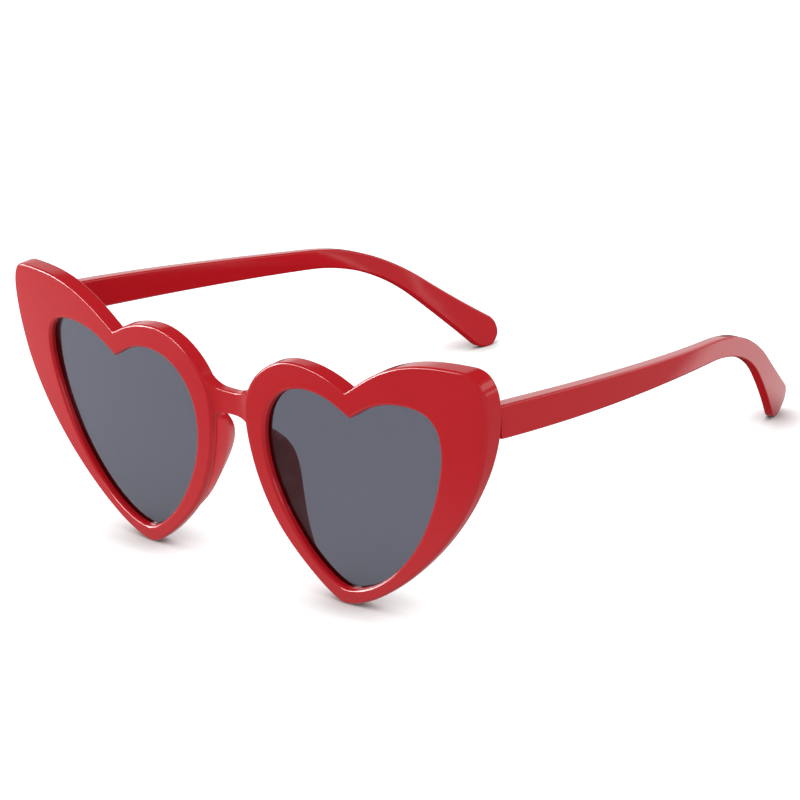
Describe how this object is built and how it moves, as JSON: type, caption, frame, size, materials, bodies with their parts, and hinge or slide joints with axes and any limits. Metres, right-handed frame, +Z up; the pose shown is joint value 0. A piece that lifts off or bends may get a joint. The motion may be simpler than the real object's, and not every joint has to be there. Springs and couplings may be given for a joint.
{
  "type": "heart shaped sunglasses",
  "caption": "Glossy red sunglasses with heart shaped rims, smoke lenses, nose pads and temples that fold inwards on barrel hinges.",
  "frame": {"origin": "on the ground, below the middle of the open glasses", "axes": "+Z up, +X towards the wearer's left, +Y from the front towards the temple tips"},
  "size_m": [0.145, 0.141, 0.0603],
  "materials": {
    "frame_plastic": "polished red",
    "lens_tint": "smoke tint",
    "hinge_steel": "fine"
  },
  "bodies": {
    "front": {"front_frame": "frame_plastic", "lens_left": "lens_tint", "lens_right": "lens_tint", "nose_pad_left": "frame_plastic", "nose_pad_right": "frame_plastic", "hinge_front_left": "hinge_steel", "hinge_front_right": "hinge_steel", "hinge_screw_left": "hinge_steel", "hinge_screw_right": "hinge_steel"},
    "left_arm": {"temple_left": "frame_plastic", "hinge_temple_left": "hinge_steel"},
    "right_arm": {"temple_right": "frame_plastic", "hinge_temple_right": "hinge_steel"}
  },
  "joints": [
    {"name": "temple_left_fold", "type": "hinge", "parent": "front", "child": "left_arm", "pos_m": [0.06684, -0.06051, 0.04824], "axis": [0, 0, 1], "range_deg": [0, 80]},
    {"name": "temple_right_fold", "type": "hinge", "parent": "front", "child": "right_arm", "pos_m": [-0.06684, -0.06051, 0.04824], "axis": [0, 0, -1], "range_deg": [0, 84]}
  ]
}
